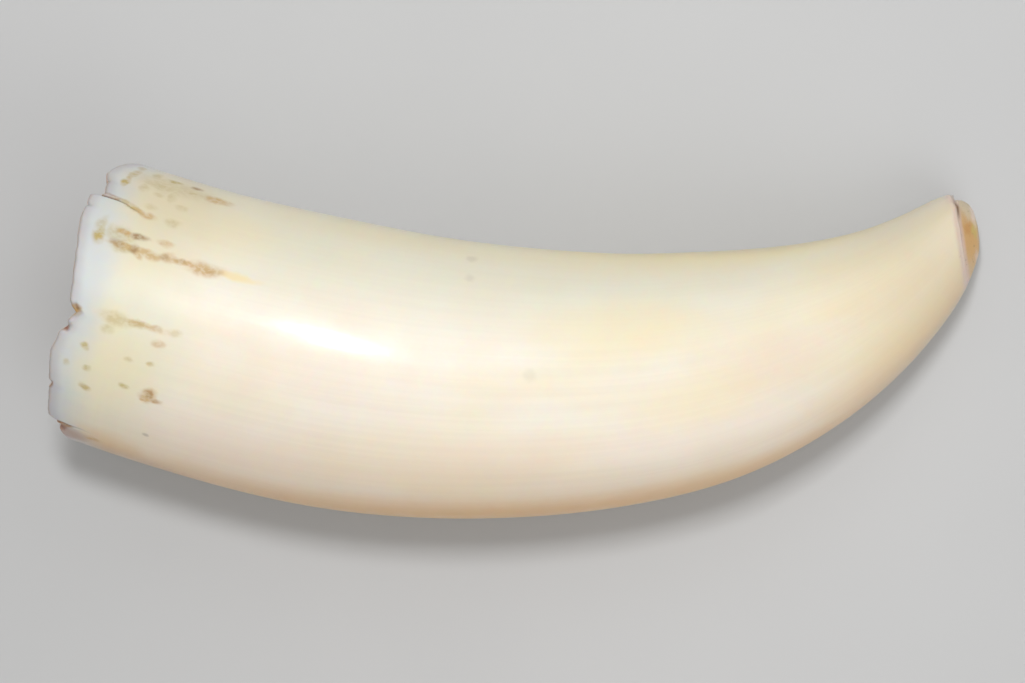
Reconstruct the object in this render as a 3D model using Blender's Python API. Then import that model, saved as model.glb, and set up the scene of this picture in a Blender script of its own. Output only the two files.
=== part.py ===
"""Sperm whale tooth, lying on its side.

The tooth is one piece of dentine. It bends in the horizontal plane, with its root at -X, its
point at +X and the hollow of the bend towards +Y. The open root is a thin, chipped wall round
a conical pulp cavity, and a shallow flake has broken off the point. Lengths are metres, +Z is
up, and the origin is under the middle of the tooth, on the surface that it lies on.
"""

import math

import bmesh
import bpy
import numpy as np

# Form of the whole tooth, before anything broke off it. A distance is measured along its
# middle line from the root, and a heading is the middle line's direction seen from above.
ROOT_CENTRE = (-0.0827, 0.0099)
STATIONS = (
    # distance, heading in degrees, half width, half height, clearance below
    (0.000, -20.9, 0.0249, 0.0212, 0.0000),
    (0.025, -16.1, 0.0253, 0.0215, 0.0000),
    (0.050, -10.7, 0.0256, 0.0217, 0.0000),
    (0.075, -3.2, 0.0245, 0.0208, 0.0000),
    (0.100, 4.3, 0.0226, 0.0192, 0.0000),
    (0.120, 14.1, 0.0203, 0.0172, 0.0000),
    (0.138, 23.7, 0.0165, 0.0140, 0.0000),
    (0.154, 34.9, 0.0121, 0.0103, 0.0000),
    (0.165, 45.5, 0.0087, 0.0077, 0.0004),
    (0.173, 52.5, 0.0055, 0.0053, 0.0018),
    (0.179, 50.5, 0.0013, 0.0021, 0.0045),
)
HEADING, HALF_WIDTH, HALF_HEIGHT, CLEARANCE = 1, 2, 3, 4  # columns of STATIONS
LENGTH = STATIONS[-1][0]
WORN_FLAT = 0.00015  # how deep the side that it lies on is worn flat

# Chipped rim of the root: how far the wall stops short of the root plane, round the tooth
# from its hollow side (0) over the upper side (90) to the bulging side (180).
RIM_LINE = (
    # angle in degrees, set back
    (0, 0.0056),
    (8, 0.0050),
    (14, 0.0041),
    (22, 0.0029),
    (30, 0.0023),
    (38, 0.0034),
    (44, 0.0040),
    (47, 0.0018),
    (52, 0.0019),
    (59, 0.0021),
    (63, 0.0025),
    (70, 0.0034),
    (85, 0.0052),
    (94, 0.0060),
    (96, 0.0070),
    (101, 0.0066),
    (105, 0.0059),
    (114, 0.0053),
    (123, 0.0059),
    (130, 0.0065),
    (141, 0.0068),
    (148, 0.0070),
    (151, 0.0085),
    (160, 0.0089),
    (171, 0.0099),
    (186, 0.0092),
    (204, 0.0076),
    (211, 0.0087),
    (220, 0.0067),
    (250, 0.0052),
    (256, 0.0066),
    (264, 0.0048),
    (300, 0.0046),
    (308, 0.0036),
    (325, 0.0034),
    (338, 0.0047),
    (346, 0.0053),
)
RIM_WALL = 0.0014
RIM_EDGE = 0.0004  # how far the rim's outer corner is worn back
RIM_INNER_SHARE = 0.7  # where the rim's inner corner lies in the wall

# Pulp cavity: the wall stays thin down to where the cavity starts to narrow.
CAVITY_DEPTH = 0.066
CAVITY_NARROWS = 0.005
CAVITY_CURVE = 1.2  # 1 is a straight cone, and more makes its wall bulge outwards

# Break across the upper side of the point: a nearly upright face through BREAK_POINT, with a
# lip below it that reaches further out. On the face, across is towards the hollow side.
BREAK_POINT = (0.0780, 0.0180, 0.0139)
BREAK_DIRECTION = (0.98, 0.15, 0.14)
LIP_REACH = 0.0038
LIP_ACROSS = 0.0012  # where it reaches furthest
LIP_HOLLOW_BREADTH, LIP_BULGE_BREADTH = 0.0066, 0.0110  # from there to its two ends
LIP_CORNER = 3.0  # 2 rounds its hollow end as an ellipse, and more squares it
LIP_STARTS, LIP_FULL = 0.0010, 0.0090  # depths below BREAK_POINT
BREAK_SEARCH = 0.154  # nearest distance at which the break is looked for
OUTER_END = 0.1760  # distance at which the outer rows end where nothing broke off

# Fineness of the mesh
COLUMNS = 84
OUTER_ROWS = 30
CAVITY_ROWS = 11
BREAK_ROWS = 7
BREAK_ROWS_END = 0.8  # how far in from the scar's border its last ring lies
ROW_BUNCHING = 0.6  # 0 spaces the outer rows evenly, and more draws them to both ends
CAVITY_BUNCHING = 0.8  # 1 spaces the cavity's rows evenly, and less draws them to the rim
MIDDLE_LINE_STEP = 0.0005
SEARCH_STEPS = 400
SMOOTH_BELOW = math.radians(35)

DENTINE_COLOUR = (0.86, 0.76, 0.56, 1.0)
DENTINE_ROUGHNESS = 0.28


def clear_scene():
    """Remove every object that the scene starts with."""
    for item in list(bpy.data.objects):
        bpy.data.objects.remove(item, do_unlink=True)


def smooth_curve(places, knots, values):
    """Read a cubic curve through the values at the knots, at each of the places."""
    knots = np.asarray(knots, float)
    values = np.asarray(values, float)
    slopes = np.gradient(values, knots)
    left = np.clip(np.searchsorted(knots, places) - 1, 0, len(knots) - 2)
    span = knots[left + 1] - knots[left]
    t = (places - knots[left]) / span
    rise = values[left + 1] - values[left]
    start_bend = slopes[left] * span - rise
    end_bend = rise - slopes[left + 1] * span
    return values[left] + t * rise + t * (1 - t) * ((1 - t) * start_bend + t * end_bend)


def station_value(distance, column):
    """One column of STATIONS, read at a distance."""
    table = np.array(STATIONS)
    return smooth_curve(distance, table[:, 0], table[:, column])


def middle_line(distance):
    """X and Y of the middle line at a distance, from its heading added up along the way."""
    steps = np.arange(0, LENGTH + MIDDLE_LINE_STEP, MIDDLE_LINE_STEP)
    heading = np.radians(station_value(steps + MIDDLE_LINE_STEP / 2, HEADING))
    x = np.concatenate([[0], np.cumsum(np.cos(heading))[:-1]]) * MIDDLE_LINE_STEP
    y = np.concatenate([[0], np.cumsum(np.sin(heading))[:-1]]) * MIDDLE_LINE_STEP
    return (
        ROOT_CENTRE[0] + np.interp(distance, steps, x),
        ROOT_CENTRE[1] + np.interp(distance, steps, y),
    )


def section_point(distance, angle, half_width, half_height):
    """Points on an oval across the middle line, at an angle from the hollow side, as rows."""
    heading = np.radians(station_value(distance, HEADING))
    x, y = middle_line(distance)
    across = half_width * np.cos(angle)
    middle = station_value(distance, HALF_HEIGHT) + station_value(distance, CLEARANCE)
    up = middle - WORN_FLAT + half_height * np.sin(angle)
    return np.stack(
        [x - across * np.sin(heading), y + across * np.cos(heading), np.maximum(up, 0)],
        axis=-1,
    )


def outer_point(distance, angle, inwards=0.0):
    """Points on the outer surface, or inwards from it across the middle line."""
    distance = distance + 0 * angle
    return section_point(
        distance,
        angle,
        station_value(distance, HALF_WIDTH) - inwards,
        station_value(distance, HALF_HEIGHT) - inwards,
    )


def cavity_point(distance, angle):
    """Points on the wall of the pulp cavity, which narrows to nothing at its end."""
    distance = distance + 0 * angle
    along = (distance - CAVITY_NARROWS) / (CAVITY_DEPTH - CAVITY_NARROWS)
    share = 1 - np.clip(along, 0, 1) ** CAVITY_CURVE
    return section_point(
        distance,
        angle,
        (station_value(distance, HALF_WIDTH) - RIM_WALL) * share,
        (station_value(distance, HALF_HEIGHT) - RIM_WALL) * share,
    )


def rim_distance(angle):
    """Where the chipped rim lies along the middle line, at an angle."""
    knots = np.array(RIM_LINE)
    return np.interp(np.degrees(angle), knots[:, 0], knots[:, 1], period=360)


def beyond_break(points):
    """How far points stand out beyond the broken face and its lip, and the face's direction."""
    out = np.array(BREAK_DIRECTION) / np.linalg.norm(BREAK_DIRECTION)
    across = np.cross((0, 0, 1), out) / np.hypot(out[0], out[1])
    down = np.cross(across, out)
    offset = points - np.array(BREAK_POINT)
    aside = offset @ across - LIP_ACROSS
    hollow = (1 - np.clip(aside / LIP_HOLLOW_BREADTH, 0, 1) ** LIP_CORNER) ** (1 / LIP_CORNER)
    bulging = np.cos(np.clip(-aside / LIP_BULGE_BREADTH, 0, 1) * math.pi / 2)
    depth = np.clip((offset @ down - LIP_STARTS) / (LIP_FULL - LIP_STARTS), 0, 1)
    lip = LIP_REACH * hollow * bulging * depth**2 * (3 - 2 * depth)
    return offset @ out - lip, out


def break_distance(angle):
    """Where the outer surface first meets the broken face, or OUTER_END where it doesn't."""
    places = np.linspace(BREAK_SEARCH, LENGTH, SEARCH_STEPS)[:, None]
    beyond, _ = beyond_break(outer_point(places, angle[None, :]))
    first = np.argmax(beyond > 0, axis=0)
    column = np.arange(len(angle))
    past, before = beyond[first, column], beyond[first - 1, column]
    crossing = places[first, 0] - (places[1, 0] - places[0, 0]) * past / (past - before)
    return np.where(first > 0, np.minimum(crossing, OUTER_END), OUTER_END)


def outer_rings(angle, start, end):
    """Rings of the outer surface from the rim to the break, closer together at both ends."""
    rings = []
    for row in range(OUTER_ROWS + 1):
        share = row / OUTER_ROWS
        share -= ROW_BUNCHING * math.sin(2 * math.pi * share) / (2 * math.pi)
        rings.append(outer_point(start + RIM_EDGE + (end - start - RIM_EDGE) * share, angle))
    return rings


def rim_rings(angle, start):
    """The broken edge of the wall, between the cavity and the outer surface."""
    inner = outer_point(start, angle, RIM_WALL * RIM_INNER_SHARE)
    return [inner, outer_point(start, angle, RIM_EDGE)]


def cavity_rings(angle, start):
    """Rings of the cavity's wall, from near its end out to the rim."""
    rings = []
    for row in range(1, CAVITY_ROWS + 1):
        share = (row / CAVITY_ROWS) ** CAVITY_BUNCHING
        distance = CAVITY_DEPTH + (start + RIM_EDGE - CAVITY_DEPTH) * share
        rings.append(cavity_point(distance, angle))
    return rings


def break_rings(angle, border):
    """Rings on the broken face and its lip, from their border in, and last their middle."""
    edge = outer_point(border, angle)
    middle = edge.mean(axis=0)
    rings = []
    for share in (*np.linspace(0, BREAK_ROWS_END, BREAK_ROWS + 1)[1:], 1.0):
        points = edge + (middle - edge) * share
        beyond, out = beyond_break(points)
        rings.append(points - beyond[:, None] * out)
    return rings


def build_tooth_mesh():
    """One closed grid: up the cavity wall, over the rim, along the outside, into the scar."""
    angle = np.linspace(0, 2 * math.pi, COLUMNS, endpoint=False)
    start, end = rim_distance(angle), break_distance(angle)
    outer = outer_rings(angle, start, end)
    scar = break_rings(angle, end)
    rings = cavity_rings(angle, start) + rim_rings(angle, start) + outer + scar[:-1]
    cavity_end = cavity_point(np.array(CAVITY_DEPTH), np.array(0.0))
    scar_middle = scar[-1][0]

    shape = bmesh.new()
    loops = [[shape.verts.new(point) for point in ring] for ring in rings]
    for near, far in zip(loops, loops[1:]):
        for column in range(COLUMNS):
            after = (column + 1) % COLUMNS
            shape.faces.new((near[column], near[after], far[after], far[column]))
    for loop, point, turned in ((loops[0], cavity_end, True), (loops[-1], scar_middle, False)):
        pole = shape.verts.new(point)
        for column in range(COLUMNS):
            edge = (loop[column], loop[(column + 1) % COLUMNS])
            shape.faces.new((*(edge[::-1] if turned else edge), pole))
    bmesh.ops.recalc_face_normals(shape, faces=shape.faces)

    mesh = bpy.data.meshes.new("tooth")
    shape.to_mesh(mesh)
    shape.free()
    mesh.shade_smooth()
    mesh.set_sharp_from_angle(angle=SMOOTH_BELOW)
    return mesh


def dentine():
    """Old, polished dentine, cream all through."""
    material = bpy.data.materials.new("dentine")
    material.use_nodes = True
    shader = material.node_tree.nodes["Principled BSDF"]
    shader.inputs["Base Color"].default_value = DENTINE_COLOUR
    shader.inputs["Roughness"].default_value = DENTINE_ROUGHNESS
    shader.inputs["Metallic"].default_value = 0.0
    return material


def main():
    """Clear the scene and put the tooth in it."""
    clear_scene()
    tooth = bpy.data.objects.new("tooth", build_tooth_mesh())
    tooth.data.materials.append(dentine())
    bpy.context.scene.collection.objects.link(tooth)


main()
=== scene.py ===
"""Sperm whale tooth, polished all over and lying on its side on a pale floor.

The tooth is one piece of dentine. Its root, at -X, is a thin chipped wall round a conical pulp
cavity, two cracks run back from that rim, and a flake has broken off its point, at +X. Lengths
are metres unless a name ends in _mm. A distance is measured along the middle line from the
root, and an angle round the tooth from the hollow side of its bend (0) over its upper side
(90) to the bulging side (180).
"""

import logging
import math
from dataclasses import dataclass, field
from enum import Enum
from typing import Any

import bpy
import numpy as np
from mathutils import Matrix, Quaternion, Vector


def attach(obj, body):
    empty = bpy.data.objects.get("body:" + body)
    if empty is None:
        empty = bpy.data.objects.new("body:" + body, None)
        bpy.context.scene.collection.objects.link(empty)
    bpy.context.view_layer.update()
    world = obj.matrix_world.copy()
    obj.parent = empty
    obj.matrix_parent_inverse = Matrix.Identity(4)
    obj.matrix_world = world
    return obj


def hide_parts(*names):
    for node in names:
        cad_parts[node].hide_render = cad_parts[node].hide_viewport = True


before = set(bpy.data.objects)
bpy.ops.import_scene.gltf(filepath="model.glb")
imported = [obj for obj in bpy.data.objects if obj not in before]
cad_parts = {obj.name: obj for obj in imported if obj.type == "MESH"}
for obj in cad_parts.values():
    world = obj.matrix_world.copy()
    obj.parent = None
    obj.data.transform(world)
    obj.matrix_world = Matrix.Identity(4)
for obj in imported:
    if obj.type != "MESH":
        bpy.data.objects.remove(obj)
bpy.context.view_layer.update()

LOG = logging.getLogger("tooth")
MM = 0.001
BODY = "root"
UNROLLED_RADIUS_MM = 23.0  # radius at which an angle is turned into a length round the tooth
DENTINE_IOR = 1.54
SMOOTH = {"interpolation_type": "SMOOTHSTEP"}

Array = np.ndarray
Pair = tuple[float, float]
Triple = tuple[float, float, float]
Material = bpy.types.Material
Tree = bpy.types.NodeTree
Node = bpy.types.Node
Socket = bpy.types.NodeSocket


def linear(hex_colour: str) -> tuple[float, float, float, float]:
    """Turn an sRGB colour into the linear colour that a shader takes.

    Args:
        hex_colour: The colour as "#RRGGBB".

    Returns:
        Red, green, blue and an alpha of 1.
    """
    parts = [int(hex_colour[place : place + 2], 16) / 255 for place in (1, 3, 5)]
    red, green, blue = (
        part / 12.92 if part <= 0.04045 else ((part + 0.055) / 1.055) ** 2.4 for part in parts
    )
    return red, green, blue, 1.0


def add(tree: Tree, kind: str, *inputs: Any, **settings: Any) -> Node:
    """Add a node to a tree, with its settings, its values and the links into it.

    Args:
        tree: The tree of a material, a world or a modifier.
        kind: The node's type, by its identifier.
        *inputs: What goes into its sockets in use, from the first one on, or a dict of that
            by the sockets' names: a value, a socket, or a node for its first output in use.
        **settings: The node's own properties.

    Returns:
        The new node.
    """
    node = tree.nodes.new(kind)
    for name, value in settings.items():
        setattr(node, name, value)
    in_use = [socket for socket in node.inputs if socket.enabled]
    by_name = {socket.name: socket for socket in reversed(in_use)}
    pairs: list[tuple[Socket, Any]] = []
    for socket, value in zip(in_use, inputs):
        if isinstance(value, dict):
            pairs += [(by_name[name], part) for name, part in value.items()]
        else:
            pairs.append((socket, value))
    for socket, value in pairs:
        if isinstance(value, Node):
            value = next(output for output in value.outputs if output.enabled)
        if isinstance(value, Socket):
            tree.links.new(value, socket)
        else:
            socket.default_value = value
    return node


def begun(name: str) -> tuple[Material, Tree]:
    """Begin a material with an empty tree."""
    material = bpy.data.materials.new(name)
    material.use_nodes = True
    material.node_tree.nodes.clear()
    return material, material.node_tree


def uneven(
    tree: Tree,
    place: Socket,
    pitch_mm: Pair,
    values: Pair,
    span: Pair = (0.3, 0.7),
    seed: float = 0.0,
    detail: float = 2.0,
) -> Node:
    """Read an uneven pattern that is stretched along the tooth or round it.

    Args:
        tree: The tree of a material.
        place: Place on the straightened tooth, in mm.
        pitch_mm: The pattern's pitch along the tooth, and round it.
        values: The value where the pattern is low, and where it is high.
        span: What counts as low, and as high.
        seed: Where in the pattern it starts.
        detail: How many finer layers the pattern has.

    Returns:
        The node with the value.
    """
    along, around = (1 / pitch for pitch in pitch_mm)
    scale, start = (along, around, around), (seed, seed, seed)
    stretched = add(tree, "ShaderNodeVectorMath", place, scale, start, operation="MULTIPLY_ADD")
    noise = add(tree, "ShaderNodeTexNoise", stretched, 1.0, detail)
    return add(tree, "ShaderNodeMapRange", noise, *span, *values, **SMOOTH)


def patch(
    tree: Tree,
    place: Node,
    centre: Pair,
    size: Pair,
    strength: float,
    turn: float = 0.0,
    soft: Pair = (0.3, 1.35),
) -> Node:
    """Read an oval patch that fades out at its border.

    Args:
        tree: The tree of a material.
        place: Node with the place, in mm.
        centre: Middle of the oval.
        size: Its length and breadth.
        strength: Its value in the middle.
        turn: How far its length turns away from the first axis, in degrees.
        soft: Where it starts to fade and where it ends, as shares of its half size.

    Returns:
        The node with the value.
    """
    half = (size[0] / 2, size[1] / 2)
    if turn:
        spin = (0.0, 0.0, math.radians(turn))
        inputs = (place, (*centre, 0.0), spin, (*half, 1.0))
        oval = add(tree, "ShaderNodeMapping", *inputs, vector_type="TEXTURE")
    else:  # the same, with fewer values held at once
        back = (-centre[0] / half[0], -centre[1] / half[1], 0.0)
        inputs = (place, (1 / half[0], 1 / half[1], 0.0), back)
        oval = add(tree, "ShaderNodeVectorMath", *inputs, operation="MULTIPLY_ADD")
    away = add(tree, "ShaderNodeVectorMath", oval, operation="LENGTH").outputs["Value"]
    return add(tree, "ShaderNodeMapRange", away, *soft, strength, 0.0, **SMOOTH)


def smooth_curve(places: Array, knots: Array, values: Array) -> Array:
    """Read a cubic curve that passes through the values at the knots.

    Args:
        places: Where it is read.
        knots: Rising places at which the curve is known.
        values: The curve at each knot.

    Returns:
        The curve at each place.
    """
    slopes = np.gradient(values, knots)
    left = np.clip(np.searchsorted(knots, places) - 1, 0, len(knots) - 2)
    span = knots[left + 1] - knots[left]
    t = (places - knots[left]) / span
    rise = values[left + 1] - values[left]
    start_bend = slopes[left] * span - rise
    end_bend = rise - slopes[left + 1] * span
    return values[left] + t * rise + t * (1 - t) * ((1 - t) * start_bend + t * end_bend)


def eased(value: Array, low: float, high: float) -> Array:
    """Rise softly from 0 at low to 1 at high."""
    share = np.clip((value - low) / (high - low), 0, 1)
    return share * share * (3 - 2 * share)


def graded(places: Array, steps: Array) -> Array:
    """Space rows or columns so that each step has about the size that is asked for there.

    Args:
        places: Rising places, evenly and finely spaced.
        steps: The step that is wanted at each of them.

    Returns:
        The first place, the last one, and as many between them as the steps need.
    """
    count = np.concatenate([[0], np.cumsum(np.diff(places) / (steps[1:] + steps[:-1]) * 2)])
    return np.interp(np.linspace(0, count[-1], math.ceil(count[-1]) + 1), count, places)


@dataclass(frozen=True)
class ToothForm:
    """Form of the tooth before its point broke, with the same values as the solid's."""

    root_centre: Pair = (-0.0827, 0.0099)
    stations: tuple[tuple[float, ...], ...] = (
        # distance, heading in degrees, half width, half height, clearance below
        (0.000, -20.9, 0.0249, 0.0212, 0.0000),
        (0.025, -16.1, 0.0253, 0.0215, 0.0000),
        (0.050, -10.7, 0.0256, 0.0217, 0.0000),
        (0.075, -3.2, 0.0245, 0.0208, 0.0000),
        (0.100, 4.3, 0.0226, 0.0192, 0.0000),
        (0.120, 14.1, 0.0203, 0.0172, 0.0000),
        (0.138, 23.7, 0.0165, 0.0140, 0.0000),
        (0.154, 34.9, 0.0121, 0.0103, 0.0000),
        (0.165, 45.5, 0.0087, 0.0077, 0.0004),
        (0.173, 52.5, 0.0055, 0.0053, 0.0018),
        (0.179, 50.5, 0.0013, 0.0021, 0.0045),
    )
    worn_flat: float = 0.00015
    rim_line: tuple[Pair, ...] = (
        # angle in degrees, how far the wall stops short of the root plane
        (0, 0.0056), (8, 0.0050), (14, 0.0041), (22, 0.0029), (30, 0.0023), (38, 0.0034),
        (44, 0.0040), (47, 0.0018), (52, 0.0019), (59, 0.0021), (63, 0.0025), (70, 0.0034),
        (85, 0.0052), (94, 0.0060), (96, 0.0070), (101, 0.0066), (105, 0.0059), (114, 0.0053),
        (123, 0.0059), (130, 0.0065), (141, 0.0068), (148, 0.0070), (151, 0.0085),
        (160, 0.0089), (171, 0.0099), (186, 0.0092), (204, 0.0076), (211, 0.0087),
        (220, 0.0067), (250, 0.0052), (256, 0.0066), (264, 0.0048), (300, 0.0046),
        (308, 0.0036), (325, 0.0034), (338, 0.0047), (346, 0.0053),
    )  # fmt: skip
    rim_wall: float = 0.0014
    cavity_depth: float = 0.066
    cavity_narrows: float = 0.005
    cavity_curve: float = 1.2
    middle_line_step: float = 0.0005

    @property
    def length(self) -> float:
        """Length of the middle line of the whole form."""
        return self.stations[-1][0]

    def station(self, distance: Array, column: int) -> Array:
        """Read one column of the stations at a distance."""
        table = np.array(self.stations)
        return smooth_curve(distance, table[:, 0], table[:, column])

    def heading(self, distance: Array) -> Array:
        """Direction of the middle line seen from above, in radians."""
        return np.radians(self.station(distance, 1))

    def middle_line(self, distance: Array) -> tuple[Array, Array]:
        """Find the middle line by adding up its heading.

        Args:
            distance: Distances along it.

        Returns:
            X and Y at each of them.
        """
        step = self.middle_line_step
        steps = np.arange(0, self.length + step, step)
        heading = self.heading(steps + step / 2)
        x = np.concatenate([[0], np.cumsum(np.cos(heading))[:-1]]) * step
        y = np.concatenate([[0], np.cumsum(np.sin(heading))[:-1]]) * step
        return (
            self.root_centre[0] + np.interp(distance, steps, x),
            self.root_centre[1] + np.interp(distance, steps, y),
        )

    def section(self, distance: Array, angle: Array, width: Array, height: Array) -> Array:
        """Place points on ovals across the middle line.

        Args:
            distance: Distance of each point.
            angle: Angle of each point, in radians.
            width: Half width of the oval at each point.
            height: Half height of the oval at each point.

        Returns:
            The points, none of them below the surface that the tooth lies on.
        """
        heading = self.heading(distance)
        x, y = self.middle_line(distance)
        across = width * np.cos(angle)
        middle = self.station(distance, 3) + self.station(distance, 4) - self.worn_flat
        up = np.maximum(middle + height * np.sin(angle), 0)
        return np.stack([x - across * np.sin(heading), y + across * np.cos(heading), up], -1)

    def outer(self, distance: Array, angle: Array, inwards: Array | float = 0.0) -> Array:
        """Place points on the outside of the tooth, or inwards from it."""
        width = self.station(distance, 2) - inwards
        height = self.station(distance, 3) - inwards
        return self.section(distance, angle, width, height)

    def cavity(self, distance: Array, angle: Array) -> Array:
        """Place points on the wall of the pulp cavity, which narrows to nothing at its end."""
        along = (distance - self.cavity_narrows) / (self.cavity_depth - self.cavity_narrows)
        share = 1 - np.clip(along, 0, 1) ** self.cavity_curve
        width = (self.station(distance, 2) - self.rim_wall) * share
        height = (self.station(distance, 3) - self.rim_wall) * share
        return self.section(distance, angle, width, height)

    def rim(self, angle: Array) -> Array:
        """Distance at which the chipped rim lies, at an angle."""
        knots = np.array(self.rim_line)
        return np.interp(np.degrees(angle), knots[:, 0], knots[:, 1], period=360)


@dataclass(frozen=True)
class PointBreak:
    """Break across the point: a nearly upright face, with a lip below that reaches out."""

    point: Triple = (0.0780, 0.0180, 0.0139)
    direction: Triple = (0.98, 0.15, 0.14)
    lip_reach: float = 0.0038
    lip_across: float = 0.0012  # where it reaches furthest
    lip_hollow_breadth: float = 0.0066
    lip_bulge_breadth: float = 0.0110
    lip_corner: float = 3.0  # 2 rounds its hollow end as an ellipse, and more squares it
    lip_starts: float = 0.0010
    lip_full: float = 0.0090
    search_from: float = 0.154
    outer_end: float = 0.1760
    search_steps: int = 500
    crack_out_mm: float = 0.35  # how far out of the face the crack lies, but for its hollow end
    crack_width_mm: float = 0.28
    crack_depth_mm: float = 0.3
    notch_depth_mm: float = 0.25  # how much deeper the crack is at its hollow end
    middle_down_mm: float = 8.0  # how far down the face its middle lies

    def axes(self) -> tuple[Array, Array, Array]:
        """Directions across the face towards the hollow side, down it, and out of it."""
        out = np.array(self.direction) / np.linalg.norm(self.direction)
        across = np.cross((0, 0, 1), out) / np.hypot(out[0], out[1])
        return across, np.cross(across, out), out

    def place(self, points: Array) -> Array:
        """Measure points along the face's own axes: across, down and out."""
        return (points - np.array(self.point)) @ np.stack(self.axes(), -1)

    def beyond(self, points: Array) -> Array:
        """How far points of the whole form stand out beyond what is left after the break."""
        across, down, out = np.moveaxis(self.place(points), -1, 0)
        aside, corner = across - self.lip_across, self.lip_corner
        hollow = np.clip(aside / self.lip_hollow_breadth, 0, 1) ** corner
        bulging = np.clip(-aside / self.lip_bulge_breadth, 0, 1) * math.pi / 2
        lip = (1 - hollow) ** (1 / corner) * np.cos(bulging)
        return out - self.lip_reach * lip * eased(down, self.lip_starts, self.lip_full)

    def laid(self, points: Array) -> Array:
        """Move points straight out or in, so that they lie on the face or its lip."""
        return points - self.beyond(points)[..., None] * self.axes()[2]

    def cracked(self, points: Array) -> tuple[Array, Array]:
        """Open the dirty crack along the foot of the face, a notch at its hollow end.

        Args:
            points: Points after the break.

        Returns:
            The points with the crack in them, and its share at each, from 0 to 1.
        """
        across, down, out = np.moveaxis(self.place(points) / MM, -1, 0)
        foot = self.crack_out_mm * (1 - eased(across, 6.5, 8.0))
        share = np.exp(-(((out - foot) / self.crack_width_mm) ** 2)) * eased(across, 3.4, 6.4)
        share = share * (1 - eased(down, 6.5, 9.0))
        deeper = self.notch_depth_mm * eased(across, 5.5, 8.0)
        depth = share * (self.crack_depth_mm + deeper) * MM
        up = self.middle_down_mm - down
        away = np.hypot(across, up)
        ways = self.axes()
        inwards = -(across / away)[..., None] * ways[0] + (up / away)[..., None] * ways[1]
        return points + depth[..., None] * inwards, share * (1 - 0.7 * eased(across, 7.0, 8.0))

    def border(self, form: ToothForm, angle: Array) -> Array:
        """Distance at which the outside first meets the break, at each angle of a row."""
        places = np.linspace(self.search_from, form.length, self.search_steps)[:, None]
        beyond = self.beyond(form.outer(places + 0 * angle, angle + 0 * places))
        first = np.argmax(beyond > 0, axis=0)
        column = np.arange(len(angle))
        past, before = beyond[first, column], beyond[first - 1, column]
        crossing = places[first, 0] - (places[1, 0] - places[0, 0]) * past / (past - before)
        return np.where(first > 0, np.minimum(crossing, self.outer_end), self.outer_end)


@dataclass(frozen=True)
class Crack:
    """Crack that runs back from the rim, open at the rim and closed at its end."""

    path: tuple[Pair, ...]  # distance in mm and angle in degrees
    half_width_mm: float
    depth_mm: float
    notch_mm: float
    spread: float = 9.0  # degrees over which the columns of the mesh lean with the crack

    @property
    def anchor(self) -> float:
        """Angle at which the columns gather that follow the crack."""
        return (self.path[0][1] + self.path[-1][1]) / 2

    def angle_at(self, distance: Array) -> Array:
        """Angle of the crack at a distance, in degrees."""
        path = np.array(self.path)
        return np.interp(distance / MM, path[:, 0], path[:, 1])

    def lean(self, base: Array, distance: Array) -> Array:
        """How far columns near the crack lean over to follow it, in degrees."""
        near = np.exp(-(((base - self.anchor) / self.spread) ** 2))
        return (self.angle_at(distance) - self.anchor) * near

    def depth(self, distance: Array, angle: Array) -> Array:
        """How much of its full depth the crack has, from 0 beside it to 1 in it."""
        aside = (np.degrees(angle) - self.angle_at(distance)) * math.radians(UNROLLED_RADIUS_MM)
        open_share = 1 - eased(distance / MM, self.path[0][0], self.path[-1][0])
        width = self.half_width_mm * (0.45 + 0.55 * open_share)
        return np.exp(-((aside / width) ** 2)) * np.sqrt(open_share)


@dataclass(frozen=True)
class Chip:
    """Small piece flaked off the outside at the rim, uneven in outline."""

    distance_mm: float
    angle: float
    radius_mm: float
    depth_mm: float

    def share(self, distance: Array, angle: Array) -> Array:
        """How much of its full depth the chip has, from 0 outside it to 1 in its middle."""
        along = distance / MM - self.distance_mm
        aside = (np.degrees(angle) - self.angle) * math.radians(UNROLLED_RADIUS_MM)
        way = np.arctan2(aside, along)
        uneven_by = 1 + 0.2 * np.sin(2 * way + self.angle) + 0.14 * np.sin(5 * way + 2 * self.angle)
        return np.maximum(1 - (along**2 + aside**2) / (self.radius_mm * uneven_by) ** 2, 0)


class Tint(Enum):
    """Colours that the dentine has taken up in places, and painted shade, in the order in which
    they lie.
    """

    GREEN = "#DBDBC6"
    YELLOW = "#EAD9A4"
    PINK = "#EBDAC9"
    # partly the dentine's tan, partly painted shade of the lower flank
    TAN = "#DCAE70"
    # painted shade, a neutral darkening
    DULL = "#C4B8A4"
    WHITE = "#CFD4D4"
    ROSE = "#B08F7B"
    GREY = "#A89E8E"
    OLIVE = "#B6A158"
    OCHRE = "#BF954C"
    RUST = "#96644A"
    UMBER = "#96703E"

    @property
    def is_dirt(self) -> bool:
        """Whether it is dirt in the pores, broken up by the grain and dull."""
        return self in (Tint.OLIVE, Tint.OCHRE, Tint.RUST, Tint.UMBER)


@dataclass(frozen=True)
class Stain:
    """Stain or patch on the outside, oval before the noise breaks it up."""

    distance_mm: float
    angle: float
    length_mm: float
    breadth_mm: float
    strength: float
    turn: float = 0.0  # degrees, from along the tooth towards the bulging side
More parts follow.
